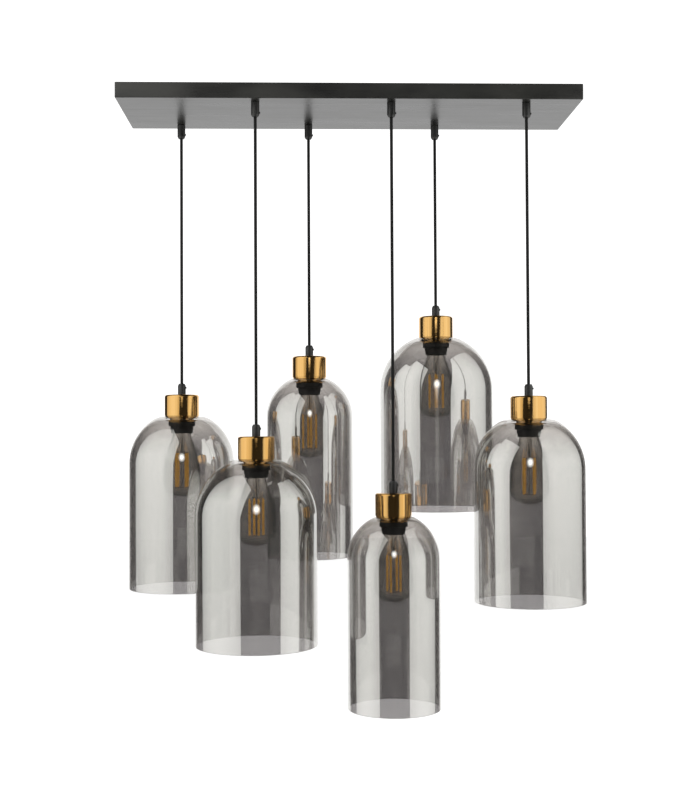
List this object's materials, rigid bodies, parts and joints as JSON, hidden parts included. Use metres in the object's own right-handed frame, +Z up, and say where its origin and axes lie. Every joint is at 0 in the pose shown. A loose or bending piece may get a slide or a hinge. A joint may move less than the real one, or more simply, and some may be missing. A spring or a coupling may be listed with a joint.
{
  "type": "bar pendant light",
  "caption": "Ceiling light with bell-shaped smoked glass pendants hung on straight cords at stepped heights from one flat rectangular canopy.",
  "frame": {"origin": "middle of the canopy in the plane of the ceiling, midway between the bracket's two screw slots", "axes": "+X along the canopy, +Y away from the front row of pendants, +Z up into the ceiling"},
  "size_m": [0.7548, 0.352, 1.001],
  "materials": {
    "canopy_black": "satin powder coat",
    "zinc_steel": "zinc plated",
    "screw_black": "black oxide",
    "grip_black": "satin moulded",
    "nut_brass": "machined",
    "wiring_black": "moulded sheath",
    "cord_black": "braided sleeve",
    "cup_copper": "polished copper-gold plate",
    "holder_black": "moulded",
    "smoked_glass": "smoked, half-mirrored",
    "lamp_glass": "clear",
    "lamp_nickel": "nickel plated",
    "filament_amber": "phosphor-coated strips"
  },
  "bodies": {
    "canopy": {"canopy_tray": "canopy_black", "ceiling_bracket": "zinc_steel", "canopy_screws": "screw_black", "canopy_grips": "grip_black", "grip_nuts": "nut_brass", "canopy_wiring": "wiring_black"},
    "cord_1": {"cord_1": "cord_black"},
    "head_1": {"cup_1": "cup_copper", "cup_grip_1": "grip_black", "lampholder_1": "holder_black", "shade_ring_1": "holder_black", "shade_1": "smoked_glass"},
    "lamp_1": {"bulb_glass_1": "lamp_glass", "bulb_cap_1": "lamp_nickel", "bulb_filament_1": "filament_amber"},
    "cord_2": {"cord_2": "cord_black"},
    "head_2": {"cup_2": "cup_copper", "cup_grip_2": "grip_black", "lampholder_2": "holder_black", "shade_ring_2": "holder_black", "shade_2": "smoked_glass"},
    "lamp_2": {"bulb_glass_2": "lamp_glass", "bulb_cap_2": "lamp_nickel", "bulb_filament_2": "filament_amber"},
    "cord_3": {"cord_3": "cord_black"},
    "head_3": {"cup_3": "cup_copper", "cup_grip_3": "grip_black", "lampholder_3": "holder_black", "shade_ring_3": "holder_black", "shade_3": "smoked_glass"},
    "lamp_3": {"bulb_glass_3": "lamp_glass", "bulb_cap_3": "lamp_nickel", "bulb_filament_3": "filament_amber"},
    "cord_4": {"cord_4": "cord_black"},
    "head_4": {"cup_4": "cup_copper", "cup_grip_4": "grip_black", "lampholder_4": "holder_black", "shade_ring_4": "holder_black", "shade_4": "smoked_glass"},
    "lamp_4": {"bulb_glass_4": "lamp_glass", "bulb_cap_4": "lamp_nickel", "bulb_filament_4": "filament_amber"},
    "cord_5": {"cord_5": "cord_black"},
    "head_5": {"cup_5": "cup_copper", "cup_grip_5": "grip_black", "lampholder_5": "holder_black", "shade_ring_5": "holder_black", "shade_5": "smoked_glass"},
    "lamp_5": {"bulb_glass_5": "lamp_glass", "bulb_cap_5": "lamp_nickel", "bulb_filament_5": "filament_amber"},
    "cord_6": {"cord_6": "cord_black"},
    "head_6": {"cup_6": "cup_copper", "cup_grip_6": "grip_black", "lampholder_6": "holder_black", "shade_ring_6": "holder_black", "shade_6": "smoked_glass"},
    "lamp_6": {"bulb_glass_6": "lamp_glass", "bulb_cap_6": "lamp_nickel", "bulb_filament_6": "filament_amber"}
  },
  "joints": [
    {"name": "swing_1", "type": "hinge", "parent": "canopy", "child": "cord_1", "pos_m": [-0.287, 0.078, -0.0475], "axis": [1, 0, 0], "range_deg": [-0.8, 25]},
    {"name": "tilt_1", "type": "hinge", "parent": "cord_1", "child": "head_1", "pos_m": [-0.287, 0.078, -0.475], "axis": [0, 1, 0], "range_deg": [-2, 8]},
    {"name": "lamp_out_1", "type": "slide", "parent": "head_1", "child": "lamp_1", "axis": [0, 0, -1], "range_m": [0, 0.31]},
    {"name": "swing_2", "type": "hinge", "parent": "canopy", "child": "cord_2", "pos_m": [-0.153, -0.078, -0.0475], "axis": [1, 0, 0], "range_deg": [-25, 0.2]},
    {"name": "tilt_2", "type": "hinge", "parent": "cord_2", "child": "head_2", "pos_m": [-0.153, -0.078, -0.5465], "axis": [0, 1, 0], "range_deg": [-1.2, 2.5]},
    {"name": "lamp_out_2", "type": "slide", "parent": "head_2", "child": "lamp_2", "axis": [0, 0, -1], "range_m": [0, 0.31]},
    {"name": "swing_3", "type": "hinge", "parent": "canopy", "child": "cord_3", "pos_m": [-0.067, 0.078, -0.0475], "axis": [1, 0, 0], "range_deg": [-0.2, 25]},
    {"name": "tilt_3", "type": "hinge", "parent": "cord_3", "child": "head_3", "pos_m": [-0.067, 0.078, -0.4095], "axis": [0, 1, 0], "range_deg": [-4.5, 0.8]},
    {"name": "lamp_out_3", "type": "slide", "parent": "head_3", "child": "lamp_3", "axis": [0, 0, -1], "range_m": [0, 0.31]},
    {"name": "swing_4", "type": "hinge", "parent": "canopy", "child": "cord_4", "pos_m": [0.067, -0.078, -0.0475], "axis": [1, 0, 0], "range_deg": [-25, 2.5]},
    {"name": "tilt_4", "type": "hinge", "parent": "cord_4", "child": "head_4", "pos_m": [0.067, -0.078, -0.6385], "axis": [0, 1, 0], "range_deg": [-7.5, 5]},
    {"name": "lamp_out_4", "type": "slide", "parent": "head_4", "child": "lamp_4", "axis": [0, 0, -1], "range_m": [0, 0.31]},
    {"name": "swing_5", "type": "hinge", "parent": "canopy", "child": "cord_5", "pos_m": [0.153, 0.078, -0.0475], "axis": [1, 0, 0], "range_deg": [-1, 25]},
    {"name": "tilt_5", "type": "hinge", "parent": "cord_5", "child": "head_5", "pos_m": [0.153, 0.078, -0.341], "axis": [0, 1, 0], "range_deg": [-2, 3.5]},
    {"name": "lamp_out_5", "type": "slide", "parent": "head_5", "child": "lamp_5", "axis": [0, 0, -1], "range_m": [0, 0.31]},
    {"name": "swing_6", "type": "hinge", "parent": "canopy", "child": "cord_6", "pos_m": [0.287, -0.078, -0.0475], "axis": [1, 0, 0], "range_deg": [-25, 1]},
    {"name": "tilt_6", "type": "hinge", "parent": "cord_6", "child": "head_6", "pos_m": [0.287, -0.078, -0.4835], "axis": [0, 1, 0], "range_deg": [-8, 3.5]},
    {"name": "lamp_out_6", "type": "slide", "parent": "head_6", "child": "lamp_6", "axis": [0, 0, -1], "range_m": [0, 0.31]}
  ]
}
